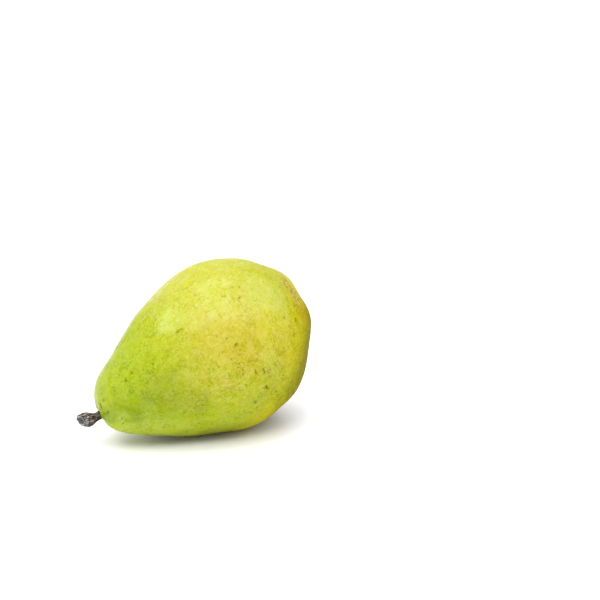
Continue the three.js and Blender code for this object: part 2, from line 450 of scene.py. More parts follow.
# %% Scuff places
SCUFFS = [  # along the core mm, degrees from the top, length mm, heading degrees, half width mm
    (38.6, -39.5, 2.9, -8, 0.22),
    (60.4, -38, 1.6, -30, 0.25),
    (64.9, -44, 1.2, 10, 0.3),
    (53.5, -69, 2.0, 25, 0.2),
    (57.0, -91, 2.2, 80, 0.16),
    (60.0, -93, 2.0, 100, 0.2),
    (53.3, -115, 1.8, -40, 0.18),
    (59.8, -108, 1.6, -55, 0.28),
    (86.0, -58, 2.2, 62, 0.12),
    (79.0, -70, 1.0, -40, 0.15),
    (84.5, -77, 1.6, 60, 0.16),
    (80.5, -86, 1.8, 20, 0.16),
    (13.3, -41, 0.2, 0, 0.3),
    (16.2, -39, 0.2, 0, 0.22),
    (2.6, -70, 0.2, 0, 0.3),
    (1.5, -69, 0.2, 0, 0.22),
    (3.2, -34, 0.2, 0, 0.2),
]
RUSSET_STREAK = [(91.2, -40), (92.7, -60)]
STRAY_SCUFFS = {"count": 34, "seed": 17}
STRAY_SPANS = [(12, 92), (70, 230), (0.2, 2.2), (-90, 90), (0.1, 0.24)]  # of the same five numbers


def stray_scuffs(count, seed):
    """Random scuffs on the sides that have none of their own, each number drawn evenly in its span."""
    draw = np.random.default_rng(seed)
    return np.stack([draw.uniform(low, high, count) for low, high in STRAY_SPANS], -1).tolist()


all_scuffs = SCUFFS + stray_scuffs(**STRAY_SCUFFS)
print("scuffs:", len(all_scuffs))

# %% [markdown]
# ## How far to the nearest scuff
#
# Nothing that rubs a fruit draws a straight line, so slow waves bend every stroke. What the material
# needs is only how far each vertex is from the nearest one, minus its half width. That number is
# worked out here for all vertices at once, and the fruit stores it. The crease at the stem is
# painted dark along its depth as painted shade, and is laid in with the scuffs.

# %% Scuff distance
SCUFF_WANDER = {"wavelength": 2.6, "height": 0.22}
CREASE_SHADE_HALF_WIDTH = 0.15
NUDGE, NUDGE_DEGREES = 0.3, 0.5


def stroke(along, degrees, length, heading):
    """Start and end of a straight scuff, laid on the skin and turned from the core's direction."""
    middle = on_skin(along, degrees)
    onward = on_skin(along + NUDGE, degrees) - on_skin(along - NUDGE, degrees)
    sideways = on_skin(along, degrees + NUDGE_DEGREES) - on_skin(along, degrees - NUDGE_DEGREES)
    lean = math.radians(heading)
    reach = math.cos(lean) * onward / np.linalg.norm(onward)
    reach = reach + math.sin(lean) * sideways / np.linalg.norm(sideways)
    return middle - reach * length / 2, middle + reach * length / 2


def scuff_and_crease_shade_distance(points):
    """Distance to the nearest edge of a scuff or of the crease's painted shade, mm, negative inside it.
    """
    bent = points + np.stack([ripples(points, **SCUFF_WANDER, seed=axis) for axis in range(3)], -1)
    # the crease at the stem counts here too: its depth is painted dark as painted shade
    nearest = to_segment(points, *CREASE) - CREASE_SHADE_HALF_WIDTH
    for *placing, half_width in all_scuffs:
        nearest = np.minimum(nearest, to_segment(bent, *stroke(*placing)) - half_width)
    return nearest


print("the first scuff runs between:", [end.round(1) for end in stroke(*SCUFFS[0][:4])])

# %% [markdown]
# ## The fruit
#
# The grid is finest where the skin turns fastest: equal steps in t crowd the rings towards both
# ends. The relief moves each vertex along its normal, and what would sink below the table is pressed
# flat, which gives the small spot that the pear rests on.

# %% Fruit
FRUIT_RINGS = 252
FRUIT_SIDES = 388

swing, angle = ring_steps(0, math.pi, FRUIT_RINGS, FRUIT_SIDES)
smooth_fruit = fruit_core(swing, angle)
fruit_points = smooth_fruit + outward(smooth_fruit) * skin_relief(smooth_fruit)[..., None]
fruit_rings = to_part(fruit_points)
fruit_rings[..., 2] = np.maximum(fruit_rings[..., 2], 0)
carried = {
    "core": smooth_fruit,
    "scuff_and_crease_shade": scuff_and_crease_shade_distance(smooth_fruit),
    "russet": to_segment(smooth_fruit, *(on_skin(*place) for place in RUSSET_STREAK)),
}
skin = swept_piece("pear_skin", [(fruit_rings, carried)])
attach(skin, "root")
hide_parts("pear_body")

# %% [markdown]
# ## Skin: the ground colours
#
# A green pear ripens unevenly. The neck and the underside stay green, the side that saw the
# sun turns a warm yellow, and the blossom end goes to old gold. The underside is also painted
# somewhat darker, and a band along the bottom much darker, as painted shade. On top of these zones
# lie a few soft patches with a place of their own: a blush, paler bloom that is partly a painted
# highlight, greener and browner shades, two of them near the right and lower edges partly painted
# shade. A patch is a soft disc round one point of the skin.

# %% Skin colours and patches
GREEN = colour(119, 142, 0)
LIME = colour(150, 166, 26)
YELLOW_GREEN = colour(172, 174, 58)
UNDERSIDE = colour(161, 173, 2)
NECK_UNDERSIDE = colour(167, 184, 74)
# a dark olive for the band along the bottom: painted shade
BELLY_SHADE = colour(128, 132, 0)
OLIVE_GREEN = colour(146, 156, 4)
# brown olive: partly freckles of the skin, partly painted shade
BROWN_OLIVE_AND_SHADE = colour(142, 116, 0)
SOFT_GOLD = colour(200, 192, 76)
LEAF_GREEN = colour(143, 164, 0)
SOFT_LIME = colour(188, 204, 82)
BLUSH = colour(181, 171, 64)
OLD_GOLD = colour(180, 173, 14)
# deep gold: partly the blossom end's own colour, partly painted shade
DEEP_GOLD_SHADE = colour(126, 118, 0)
# pale bloom, and partly a painted highlight
PALE_BLOOM_AND_HIGHLIGHT = colour(186, 196, 116)
# each patch: its middle (along the core mm, degrees from the top), its reach mm, colour and share
LOW_SPOTS = [((55, -62), 27, BLUSH, 1.0), ((33, -97), 10, OLIVE_GREEN, 0.55)]
TOP_SPOTS = [
    # the next three: pale patches where the softboxes' sheen falls on the upper side, pale bloom and
    # partly painted highlight
    ((38, -26), 9, PALE_BLOOM_AND_HIGHLIGHT, 0.55),
    ((77, -50), 15, PALE_BLOOM_AND_HIGHLIGHT, 0.45),
    ((56, -36), 15, PALE_BLOOM_AND_HIGHLIGHT, 0.32),
    ((12.0, -65), 9, LEAF_GREEN, 0.75),
    ((15.5, -99), 9, SOFT_LIME, 0.25),
    ((5.5, -99), 8, SOFT_LIME, 0.4),
    # the next two: brown-olive freckles at the right edge and an olive patch at the lower right edge,
    # partly the skin's own colour and partly painted shade
    ((92, -72), 11, BROWN_OLIVE_AND_SHADE, 0.6),
    ((66, -118), 15, OLIVE_GREEN, 0.5),
    ((73, -73), 15, SOFT_GOLD, 0.5),
]
print("patches with their own place:", len(LOW_SPOTS + TOP_SPOTS))

# %% [markdown]
# ## Skin: zones that follow the shape
#
# Broad zones could be painted on an image, but on a fruit they follow its own shape, so they are
# worked out from the place on the core that each vertex carries. How far along it sits tells neck
# from belly and blossom end. The across part, shared by the distance from the core, is 1 where the
# skin looks up and -1 where it looks down. The gold of the blossom end goes by a lowered place, so it
# reaches further along on the underside; its deepest gold is partly the fruit's own colour and partly
# painted shade, darkening the underside and the blossom end. Slow noise bends every border, or the
# zones would look airbrushed.

# %% Skin zones
BROAD_NOISE, PATCHY_NOISE = 0.035, 0.11  # lumps per mm
UNDERSIDE_BORDER, BELLY_SHADE_BORDER = (0.15, -0.5), (-0.62, -0.88)  # upward 1, downward -1
LIME_BORDER, NECK_UNDERSIDE_BORDER = (0.1, 0.9), (-0.1, -0.65)
NECK_BORDER, OLD_GOLD_BORDER, DEEP_GOLD_SHADE_BORDER = (44, 8), (64, 80), (78, 98)  # mm along the core
NECK_LEAN, GOLD_AND_SHADE_LEAN = 8, 30  # mm that a border shifts from level to top

skin_paint = Paint("pear_skin")
place = skin_paint.stored("core", "Vector")
along, level, across = skin_paint.parts(place)
from_core = skin_paint.math("SQRT", level * level + across * across + 0.01)
topward = across / from_core
broad = skin_paint.noise(place, BROAD_NOISE) - 0.5
patchy = skin_paint.noise(place, PATCHY_NOISE) - 0.5
wander = broad * 1.2 + patchy * 0.5


def spot(under, middle, reach, tint, share):
    """Lays a tint round a place on the skin, thinning out with the distance to it."""
    sockets = {0: place, 1: on_skin(*middle).tolist()}
    away = skin_paint.node("VectorMath", {"operation": "DISTANCE"}, sockets, 1)
    return skin_paint.mix((away + wander * reach * 0.5).step(reach, reach * 0.2) * share, under, tint)


# the underside is greener, and is also painted darker as shade
ground = skin_paint.mix((topward + wander * 0.6).step(*UNDERSIDE_BORDER), YELLOW_GREEN, UNDERSIDE)
# a band along the bottom painted much darker still: painted shade under the pear
ground = skin_paint.mix((topward + patchy * 0.2).step(*BELLY_SHADE_BORDER) * 0.8, ground, BELLY_SHADE)
for low_spot in LOW_SPOTS:
    ground = spot(ground, *low_spot)
green = skin_paint.mix((topward + wander * 0.5).step(*LIME_BORDER), GREEN, LIME)
green = skin_paint.mix((topward + wander * 0.4).step(*NECK_UNDERSIDE_BORDER), green, NECK_UNDERSIDE)
ground = skin_paint.mix((along + wander * 16 - topward * NECK_LEAN).step(*NECK_BORDER), ground, green)
lowered = along - topward * GOLD_AND_SHADE_LEAN
ground = skin_paint.mix((lowered + wander * 5).step(*OLD_GOLD_BORDER), ground, OLD_GOLD)
# deep gold on the blossom end and its underside, partly painted shade
ground = skin_paint.mix((lowered + wander * 10).step(*DEEP_GOLD_SHADE_BORDER), ground, DEEP_GOLD_SHADE)
for top_spot in TOP_SPOTS:
    ground = spot(ground, *top_spot)
print("zones laid, nodes so far:", len(skin_paint.tree.nodes))

# %% [markdown]
# ## Skin: layers of mottle
#
# Over the zones lies a mottle at every size, from patches of a centimetre to grain of half a
# millimetre. Each layer is noise of one size, cut off at a level so that it makes blotches. Most are
# glazes: they multiply the ground by a clear yellow or olive, so that a green neck stays green under
# them, as it does where the wax is thin. Where noise passes through its middle value it draws
# wandering threads, which give the short curls that round dots never would.

# %% Mottle helpers
LEMON_GLAZE = (0.93, 0.94, 0.3, 1.0)
AMBER_GLAZE = (0.95, 0.86, 0.25, 1.0)
OLIVE_GLAZE = (0.72, 0.75, 0.12, 1.0)
SPECK_GLAZE = (0.36, 0.34, 0.0, 1.0)
CREAM = colour(194, 190, 92)
ROSE_CREAM = colour(186, 168, 92)


def layer(scale, shift, detail=2.0):
    """Noise with a scale in lumps per millimetre; the shift gives each layer a pattern of its own."""
    sockets = {0: place, 1: (shift, 2 * shift, -shift)}
    moved = skin_paint.node("VectorMath", {"operation": "ADD"}, sockets)
    return skin_paint.noise(moved, scale, detail)


def threads(scale, shift, width):
    """1 on the lines where a noise layer passes its middle value, fading over the width."""
    return skin_paint.math("ABSOLUTE", layer(scale, shift, 1.0) - 0.5).step(width, width * 0.3)


def glaze(share, under, tint):
    """Multiplies a colour by a clear tint where the share is 1."""
    return skin_paint.mix(share, under, tint, "MULTIPLY")


print("glazes, darkest channel:", [min(tint) for tint in (LEMON_GLAZE, AMBER_GLAZE, OLIVE_GLAZE)])

# %% [markdown]
# ## Skin: where the mottle lies
#
# The blotches are not the same everywhere. They are strongest on the body and fade on the top under
# a pale bloom of wax, which makes the top lighter as a painted sheen; the ochre ones keep off the
# shaded underside. The olive flecks crowd together in some places and leave others bare. So a few
# masks are made first, and each layer is weighed by them.

# %% Skin mottling
golden = lowered.step(64, 90)
body = along.step(24, 50) * (1 - golden * 0.8)
# fewer blotches on top of the body, which lightens it: partly pale bloom, partly painted sheen
bloom_and_sheen = body * topward.step(0.0, 0.6)
bare = 1 - bloom_and_sheen * 0.55
sunny = topward.step(-0.6, 0.0) * 0.8 + 0.2
crowding = layer(0.2, 64, 2.5).step(0.4, 0.6) * bare
amber_blotches = layer(0.16, 3, 1.5).step(0.48, 0.62) * (body * 0.6 + 0.2) * bare * sunny
rosy_blotches = layer(0.22, 31).step(0.52, 0.66) * body * bare * sunny * 0.5
lemon_blotches = layer(0.38, 57, 2.5).step(0.48, 0.58) * bare
lemon_flecks = layer(0.9, 73, 2.5).step(0.5, 0.62) * bare * 0.9
cream_flecks = layer(0.7, 12).step(0.52, 0.68) * (body * 0.3 + 0.1)
curls = threads(0.5, 22, 0.05) * crowding * 0.8
olive_flecks = layer(1.0, 44).step(0.56, 0.66) * (crowding * 0.7 + 0.3)
olive_grain = layer(1.8, 91, 1.5).step(0.55, 0.66) * (crowding * 0.5 + 0.35)
cream_grain = layer(1.5, 131, 1.0).step(0.6, 0.7) * (body * 0.35 + 0.1)

mottled = glaze(amber_blotches, ground, AMBER_GLAZE)
mottled = skin_paint.mix(rosy_blotches, mottled, ROSE_CREAM)
mottled = glaze(lemon_blotches, mottled, LEMON_GLAZE)
mottled = glaze(lemon_flecks, mottled, LEMON_GLAZE)
mottled = skin_paint.mix(cream_flecks, mottled, CREAM)
for olive_marks in (curls, olive_flecks, olive_grain):
    mottled = glaze(olive_marks, mottled, OLIVE_GLAZE)
mottled = skin_paint.mix(cream_grain, mottled, CREAM)
print("mottle laid, nodes so far:", len(skin_paint.tree.nodes))

# %% [markdown]
# ## Skin: lenticels
#
# The skin breathes through hundreds of tiny pores, the lenticels, which show as dots. A Voronoi
# texture gives every point its distance to the nearest of many scattered seeds, and a dot is
# wherever that distance is small. The place is jittered by noise first, so the dots aren't round.
# Each cell also has a random colour, and its red is used to make some dots dark, some faint and some
# missing. Two sizes are laid, the smaller one denser.

# %% Skin lenticels
PORES = {"spacing": 2.3, "radius": 0.38, "rarity": 0.3}
SMALL_PORES = {"spacing": 1.2, "radius": 0.26, "rarity": 0.3}
JITTER, JITTER_NOISE = (1.3, 1.3, 1.3), 1.3  # mm along each axis, lumps per mm


jitter = skin_paint.node("TexNoise", None, {"Vector": place, "Scale": JITTER_NOISE, "Detail": 1.0}, 1)
wandering = {0: jitter, 1: JITTER, 2: place}
jittered = skin_paint.node("VectorMath", {"operation": "MULTIPLY_ADD"}, wandering)


def dots(spacing, radius, rarity):
    """Share of a dot: 1 inside its radius, for the cells whose random number beats the rarity."""
    values = {"Vector": jittered, "Scale": 1 / spacing, "Randomness": 0.9}
    reach = skin_paint.node("TexVoronoi", None, values, 0)
    cell = skin_paint.node("TexVoronoi", None, values, 1)
    luck = skin_paint.parts(cell)[0]
    size = radius / spacing
    return reach.step(size * 1.4, size * 0.5) * luck.step(rarity, 0.95)


pores = dots(**PORES)
small_pores = dots(**SMALL_PORES)
dotted = glaze(small_pores * (crowding * 0.5 + 0.3) * (body * 0.35 + 0.65), mottled, SPECK_GLAZE)
dotted = glaze(pores * (crowding * 0.35 + 0.5), dotted, SPECK_GLAZE)
print("pores laid, nodes so far:", len(skin_paint.tree.nodes))

# %% [markdown]
# ## Skin: scuffs and russet
#
# The stored distance to the nearest scuff, or to the crease's painted shade, becomes a dark, broken
# line with a faint olive halo.
# Russet is the corky brown skin that grows where the fruit is stretched. On the rim of the blossom
# basin it is a tan patch with brown strands in it, round the stored streak. Down in the basin, and
# in a thin ring round the stem, it is a net, drawn as the thin borders between Voronoi cells.

# %% Skin scuffs and russet
SCUFF_AND_CREASE_SHADE = colour(78, 74, 0)
TAN = colour(202, 187, 80)
RUSSET = colour(118, 92, 22)
SCUFF_AND_CREASE_SHADE_BORDER, HALO_BORDER = (0.22, -0.06), (0.9, 0.0)  # mm from a scuff's edge
PATCH_BORDER, STRAND_BORDER = (5.2, 1.8), (4.4, 1.2)  # mm from the streak
BASIN_BORDER, STEM_RING_BORDER = (13, 5), (5.2, 2.6)  # mm from the core line
NET_SCALE, NET_BORDER = 0.8, (0.2, 0.06)

scuff_and_crease_shade_edge = skin_paint.stored("scuff_and_crease_shade")
ragged = skin_paint.noise(place, 2.2) - 0.5
scuffed_and_crease_shaded = (scuff_and_crease_shade_edge + ragged * 0.8).step(*SCUFF_AND_CREASE_SHADE_BORDER)
halo = (scuff_and_crease_shade_edge + ragged * 0.8).step(*HALO_BORDER)
worn = glaze(halo * 0.9, dotted, OLIVE_GLAZE)
# dark scuffs, and the painted shade in the crease at the stem
worn = skin_paint.mix(scuffed_and_crease_shaded * 0.85, worn, SCUFF_AND_CREASE_SHADE)

from_russet = skin_paint.stored("russet")
uneven = from_russet + patchy * 7 + ragged * 6
patch = uneven.step(*PATCH_BORDER)
strands = uneven.step(*STRAND_BORDER) * layer(0.9, 151, 2.5).step(0.48, 0.56)
worn = skin_paint.mix(patch * 0.7, worn, TAN)
worn = skin_paint.mix(strands * 0.8, worn, RUSSET)

cell_values = {"Vector": jittered, "Scale": NET_SCALE}
cell_border = skin_paint.node("TexVoronoi", {"feature": "DISTANCE_TO_EDGE"}, cell_values)
net = cell_border.step(*NET_BORDER)
inside_basin = (from_core + patchy * 6).step(*BASIN_BORDER) * along.step(60, 80)
stem_ring = (from_core + patchy * 3).step(*STEM_RING_BORDER) * along.step(40, 20)
russet = skin_paint.math("MAXIMUM", patch * 0.4, inside_basin)
russet = skin_paint.math("MAXIMUM", russet, stem_ring * 0.3)
worn = skin_paint.mix(russet * (net * 0.75 + 0.15), worn, RUSSET)
print("scuffs and russet laid, nodes so far:", len(skin_paint.tree.nodes))

# %% [markdown]
# ## Skin: gloss
#
# A waxy skin has a soft sheen with a thin smoother film on top. The film is thickest on top of the
# neck, thins out to nothing at the ripe gold end and on the side that the fruit lies on, and is
# missing where the skin is russeted or scuffed and in the crease's painted shade. A fine pebbling in
# the Normal breaks the sheen up.
# A little light enters the flesh and comes out again, which the subsurface part gives.

# %% Skin gloss
pebbling = skin_paint.noise(place, 0.9, 1.5) + skin_paint.noise(place, 2.6, 1.0) * 0.25
height = pebbling - pores * 0.35 - scuffed_and_crease_shaded * 0.6 + russet * net * 0.3
bumped = skin_paint.node("Bump", None, {"Strength": 1.0, "Distance": 0.00004, "Height": height})
roughness = 0.4 + 0.1 * layer(0.5, 18).step(0.35, 0.65) + 0.3 * golden + 0.2 * scuffed_and_crease_shaded
neck_wax = along.step(30, 5) * topward.step(0.2, 0.8)
wax = 0.08 + 0.32 * layer(0.24, 83).step(0.42, 0.6) + 0.25 * neck_wax
wax = wax * (1 - golden) * topward.step(-0.95, -0.4)
film = wax * (1 - skin_paint.math("MAXIMUM", russet, scuffed_and_crease_shaded))
skin_paint.finish(
    base_color=worn,
    roughness=roughness,
    normal=bumped,
    coat_weight=film,
    coat_roughness=0.24,
    ior=1.12,
    subsurface_weight=0.15,
    subsurface_radius=(1.0, 0.8, 0.2),
    subsurface_scale=0.0015,
)
skin.data.materials.append(skin_paint.material)
print("skin nodes:", len(skin_paint.tree.nodes))

# %% [markdown]
# ## The stem
#
# The stem is a short woody stalk: a root hidden in the flesh, a narrow waist, and a swollen joint
# where it let go of the spur, ending in a blunt scar. It is shaped straight first, as rings round its
# own line whose radius swells and narrows by smooth steps. A bevelled curve could be tapered like
# this too, but it couldn't carry the ridges and the slanted end that come next.

# %% Stem profile
STEM_LENGTH, STEM_ROOT_DEPTH = 8.4, 6.0
STEM_RADII = {"root": 1.7, "waist": 1.6, "flare": 2.85, "face": 1.9}
STEM_WAIST_AT, STEM_FLARE_AT, STEM_ROUNDING_AT = 0.16, 0.64, 0.7


def smoothstep(value, low, high):
    """0 below low, 1 above high and 3 s^2 - 2 s^3 between, with s the share of the way."""
    share = np.clip((value - low) / (high - low), 0, 1)
    return share * share * (3 - 2 * share)


def stem_radius(along):
    """Root to waist to flare in two smooth steps, then a quarter ellipse over to the end face."""
    waist = smoothstep(along, 0, STEM_WAIST_AT * STEM_LENGTH)
    flare = smoothstep(along, STEM_WAIST_AT * STEM_LENGTH, STEM_FLARE_AT * STEM_LENGTH)
    end = np.clip((along / STEM_LENGTH - STEM_ROUNDING_AT) / (1 - STEM_ROUNDING_AT), 0, 1)
    swollen = STEM_RADII["root"] + (STEM_RADII["waist"] - STEM_RADII["root"]) * waist
    swollen = swollen + (STEM_RADII["flare"] - STEM_RADII["waist"]) * flare
    return swollen - (STEM_RADII["flare"] - STEM_RADII["face"]) * (1 - np.sqrt(1 - end**2))


print("stem radii along it, mm:", stem_radius(np.linspace(0, STEM_LENGTH, 6)).round(2))

# %% [markdown]
# ## Bark and bend
#
# The bark is ridged along its length and cracked, and both are worked into the radius, so the
# outline of the stem is as rough as the bark. The hidden root stays plain. Then the end is slanted,
# by letting points further up and to the side lie further along, and the straight stem is wrapped
# round a circle: what was a length along it becomes an angle.

# %% Stem bark and bend
STEM_FOOT = 1.2
STEM_BEND = math.radians(28)
STEM_UP_SLANT, STEM_SIDE_SLANT = 0.3, 0.5
RIDGES_FULL_AT, SLANT_FROM = 0.3, 0.4  # shares of the stem's length
BARK_RIDGES = [(0.06, 5, 0.12), (0.04, 9, -0.2)]  # size, count, twist per mm
CRACK_LINES, CRACK_SEED = (13, 17, 23, 31), 5
CRACK_DEPTH, CRACK_CONTRAST = 0.075, 2.5
CRACKS_BEGIN = (-1.5, 0.5)  # mm along the stem


def bark_cracks(along, around):
    """Fine furrows that run along the stem and wander: the sum of sharpened waves round the bark."""
    draw = np.random.default_rng(CRACK_SEED)
    total = 0
    for lines in CRACK_LINES:
        phase, wander, pace = draw.uniform(0, 2 * math.pi, 3)
        swerve = 0.8 * np.sin(0.55 * along + wander) + 0.4 * np.sin(1.7 * along + pace)
        total = total + (0.5 + 0.5 * np.cos(lines * around + phase + swerve)) ** 3
    return total / len(CRACK_LINES)


def stem_core(along, around, radius):
    """Roughens, slants and bends a straight stem point: up is the inside of the bend."""
    ridges = 0
    for size, count, twist in BARK_RIDGES:
        ridges = ridges + size * np.cos(count * around + count * twist * along)
    ridges = ridges * smoothstep(along, 0, RIDGES_FULL_AT * STEM_LENGTH)
    cracks = CRACK_DEPTH * (1 - CRACK_CONTRAST * bark_cracks(along, around))
    rough = radius * (1 + ridges + smoothstep(along, *CRACKS_BEGIN) * cracks)
    side, up = rough * np.sin(around), rough * np.cos(around)
    slant = STEM_UP_SLANT * up + STEM_SIDE_SLANT * side
    leaning = along + slant * smoothstep(along, SLANT_FROM * STEM_LENGTH, STEM_LENGTH)
    circle = STEM_LENGTH / STEM_BEND
    turned = np.maximum(leaning, 0) / circle
    reach = np.where(leaning > 0, (circle - up) * np.sin(turned), leaning)
    rise = circle - (circle - up) * np.cos(turned)
    return np.stack([STEM_FOOT - reach, side + STEM_SIDE, rise - STEM_DROP], -1)


print("middle of the stem's end, core mm:", stem_core(STEM_LENGTH, 0, 0).round(1))

# %% [markdown]
# ## The scar, and the stem as a piece
#
# The scar at the end is a shallow dish with a raised rim. Its rings continue those of the bark: their
# share runs from 0 at the rim to 1 at the middle, and the radius shrinks while the face sinks. Two
# numbers are stored for the bark's material: the place on the straight stem, so that the grain
# follows the bend, and the share of the way across the scar.

# %% Stem
STEM_RINGS, SCAR_RINGS, STEM_SIDES = 170, 34, 176
SCAR_RIM_HEIGHT, SCAR_RIM_AT, SCAR_RIM_WIDTH = 0.12, 0.12, 0.1  # mm, then shares of the way in
SCAR_DISH_DEPTH, SCAR_DISH_SLOPE = 0.3, (0.08, 0.5)
SCAR_GRAIN_DEPTH, SCAR_RAYS, SCAR_SWIRL = 0.05, 9, 6

bark_steps, stem_angle = ring_steps(-STEM_ROOT_DEPTH, STEM_LENGTH, STEM_RINGS, STEM_SIDES)
bark_steps = np.concatenate([bark_steps[:1], bark_steps])
scar_share = np.linspace(0, 1, SCAR_RINGS + 1)[1:, None]
ring_along = np.concatenate([bark_steps, np.full((SCAR_RINGS, 1), STEM_LENGTH)])
ring_share = np.concatenate([0 * bark_steps, scar_share])
ring_radius = stem_radius(ring_along) * (1 - ring_share)
scar_rim = SCAR_RIM_HEIGHT * bell(ring_share - SCAR_RIM_AT, SCAR_RIM_WIDTH) * (ring_share > 0)
scar_dip = SCAR_DISH_DEPTH * smoothstep(ring_share, *SCAR_DISH_SLOPE) - scar_rim
scar_rays = np.cos(SCAR_RAYS * stem_angle + SCAR_SWIRL * ring_share)
scar_grain = SCAR_GRAIN_DEPTH * ring_share * (1 - ring_share) * scar_rays
stem_points = stem_core(ring_along - scar_dip + scar_grain, stem_angle, ring_radius)
side, up = ring_radius * np.sin(stem_angle), ring_radius * np.cos(stem_angle)
grain_place = np.stack(np.broadcast_arrays(side, up, ring_along), -1)
scar_place = ring_share + 0 * stem_angle
stem = swept_piece("pear_stem", [(to_part(stem_points), {"grain": grain_place, "scar": scar_place})])
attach(stem, "root")
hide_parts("stem")

# %% [markdown]
# ## Weathered bark
#
# Old bark is dark brown with ashy streaks along the grain and black cracks between them. The noise
# is read from the place on the straight stem with its length squeezed, which draws it out into
# streaks. A brushed picture of bark would have to be stretched round the bend and would show a seam.

# %% Bark colours and grain
DARK_BARK = colour(28, 21, 18)
GREY_BARK = colour(72, 66, 60)
ROSE_BARK = colour(98, 76, 68)
ASH = colour(176, 171, 154)
CRACK = colour(14, 9, 6)
SCAR_WOOD = colour(96, 90, 99)
PITH = colour(44, 39, 47)
GRAIN_SQUEEZE = (1.0, 1.0, 0.22)

bark_paint = Paint("stem_bark")
grain = bark_paint.stored("grain", "Vector")
scar = bark_paint.stored("scar")
stretched = bark_paint.node("VectorMath", {"operation": "MULTIPLY"}, {0: grain, 1: GRAIN_SQUEEZE})
streaks = bark_paint.noise(stretched, 0.9, 2.0, 0.6, 0.3)
fine_streaks = bark_paint.noise(stretched, 2.0, 1.0, 0.5, 0.2)
split_lines = bark_paint.math("ABSOLUTE", bark_paint.noise(stretched, 1.5, 1.0, 0.5, 0.6) - 0.5)
splits = split_lines.step(0.07, 0.025)
crumbs = bark_paint.noise(grain, 3.2, 2.0)
reach = bark_paint.parts(grain)[2]
middle = reach.step(1.0, 3.0) * reach.step(6.5, 4.5)
light_bark = bark_paint.mix(middle, GREY_BARK, ROSE_BARK)
bark = bark_paint.mix(streaks.step(0.4, 0.58), DARK_BARK, light_bark)
ashy = (fine_streaks + crumbs * 0.2).step(0.61, 0.7) * (0.35 + 0.55 * reach.step(1.0, 5.0))
bark = bark_paint.mix(ashy * (1 - 0.35 * middle), bark, ASH)
bark = bark_paint.mix(splits * 0.85, bark, CRACK)
print("bark laid, nodes so far:", len(bark_paint.tree.nodes))

# %% [markdown]
# ## The scar's wood
#
# Where the stem broke off, the wood is smoother and greyer than the bark: a pale broken rim, partly
# the wood's own colour and partly a painted highlight, dull violet-grey wood and a darker pith. The
# stored share of the way across the scar draws all three as rings. Bark and wood get their bump from
# the same streaks, and neither has much gloss.

# %% Scar wood
rim = scar.step(0.02, 0.08) * scar.step(0.32, 0.2)
# a pale broken rim on the scar, partly its own colour and partly painted highlight
pale_rim_and_highlight = rim * (streaks + crumbs * 0.6).step(0.68, 0.86)
wood = bark_paint.mix(crumbs.step(0.35, 0.65), PITH, SCAR_WOOD)
wood = bark_paint.mix(scar.step(0.66, 0.86) * 0.8, wood, PITH)
wood = bark_paint.mix(pale_rim_and_highlight, wood, ASH)
bark = bark_paint.mix(scar.step(0.005, 0.05), bark, wood)
bark_height = fine_streaks * 0.6 + streaks * 0.6 + crumbs * 0.3 - splits * 0.5
bark_bump = bark_paint.node("Bump", None, {"Strength": 1.0, "Distance": 0.0002, "Height": bark_height})
bark_paint.finish(base_color=bark, roughness=0.8 - 0.15 * fine_streaks, normal=bark_bump)
stem.data.materials.append(bark_paint.material)
print("bark nodes:", len(bark_paint.tree.nodes))

# %% [markdown]
# ## The calyx
#
# At the bottom of the blossom basin sits what is left of the flower: a small cup, five dry sepals
# that curl outwards, and a tuft of withered stamens. Each is shaped where it is easiest, out from the
# middle, sideways of that and up from the basin's floor, and is then turned to its place round the
# core line. Sepals and stamens both follow a curve with three control points.

# %% Calyx places and curls


def calyx_to_part(out, sideways, up, turn):
    """Places calyx points: out at an angle turn, sideways of that, and up from the basin's floor."""
    level = out * np.cos(turn) - sideways * np.sin(turn)
    across = out * np.sin(turn) + sideways * np.cos(turn)
    return to_part(np.stack([CORE_LENGTH - BASIN_DEPTH + up, level, across], -1))


def curl(share, points):
    """A curve with three control points, and its heading: the usual quadratic Bezier formula."""
    foot, knee, tip = (np.asarray(point) for point in points)
    place = (1 - share) ** 2 * foot + 2 * share * (1 - share) * knee + share**2 * tip
    heading = 2 * (1 - share) * (knee - foot) + 2 * share * (tip - knee)
    return place, heading / np.linalg.norm(heading, axis=-1, keepdims=True)


def along_curl(share, points, sideways, lift, turn):
    """Sets a section square to a curl, sideways and lifted off it, and turns all to its place."""
    place, heading = curl(share, points)
    out = place[..., :1] - heading[..., 1:] * lift
    up = place[..., 1:] + heading[..., :1] * lift
    return calyx_to_part(*np.broadcast_arrays(out, sideways, up), turn)


print("the basin's floor in the part's frame, mm:", (calyx_to_part(0, 0, 0, 0) / MM).round(1))

# %% [markdown]
# ## A sepal
#
# A sepal is a thin leaf, so its section is a flat oval that sags in the middle, swept along the same
# curl as the solid's, with its width swelling and then narrowing to a point. A flat leaf with a
# Solidify modifier would be quicker, but its edge would stay square. Each sepal gets its own hook and
# its own small twist by a seeded draw.

# %% Sepal
SEPAL_WIDTH, SEPAL_THICKNESS, SEPAL_CUPPING = 2.9, 0.38, 0.45
SEPAL_FOOT, SEPAL_KNEE, SEPAL_TIP = (1.2, 0.9), (3.0, 3.4), (5.8, 4.3)
SEPAL_HOOKS, SEPAL_TWISTS = (-0.9, 0.5), (-0.5, 0.5)  # mm, the spans that the draws come from
SEPAL_RINGS, SEPAL_SIDES = 44, 28


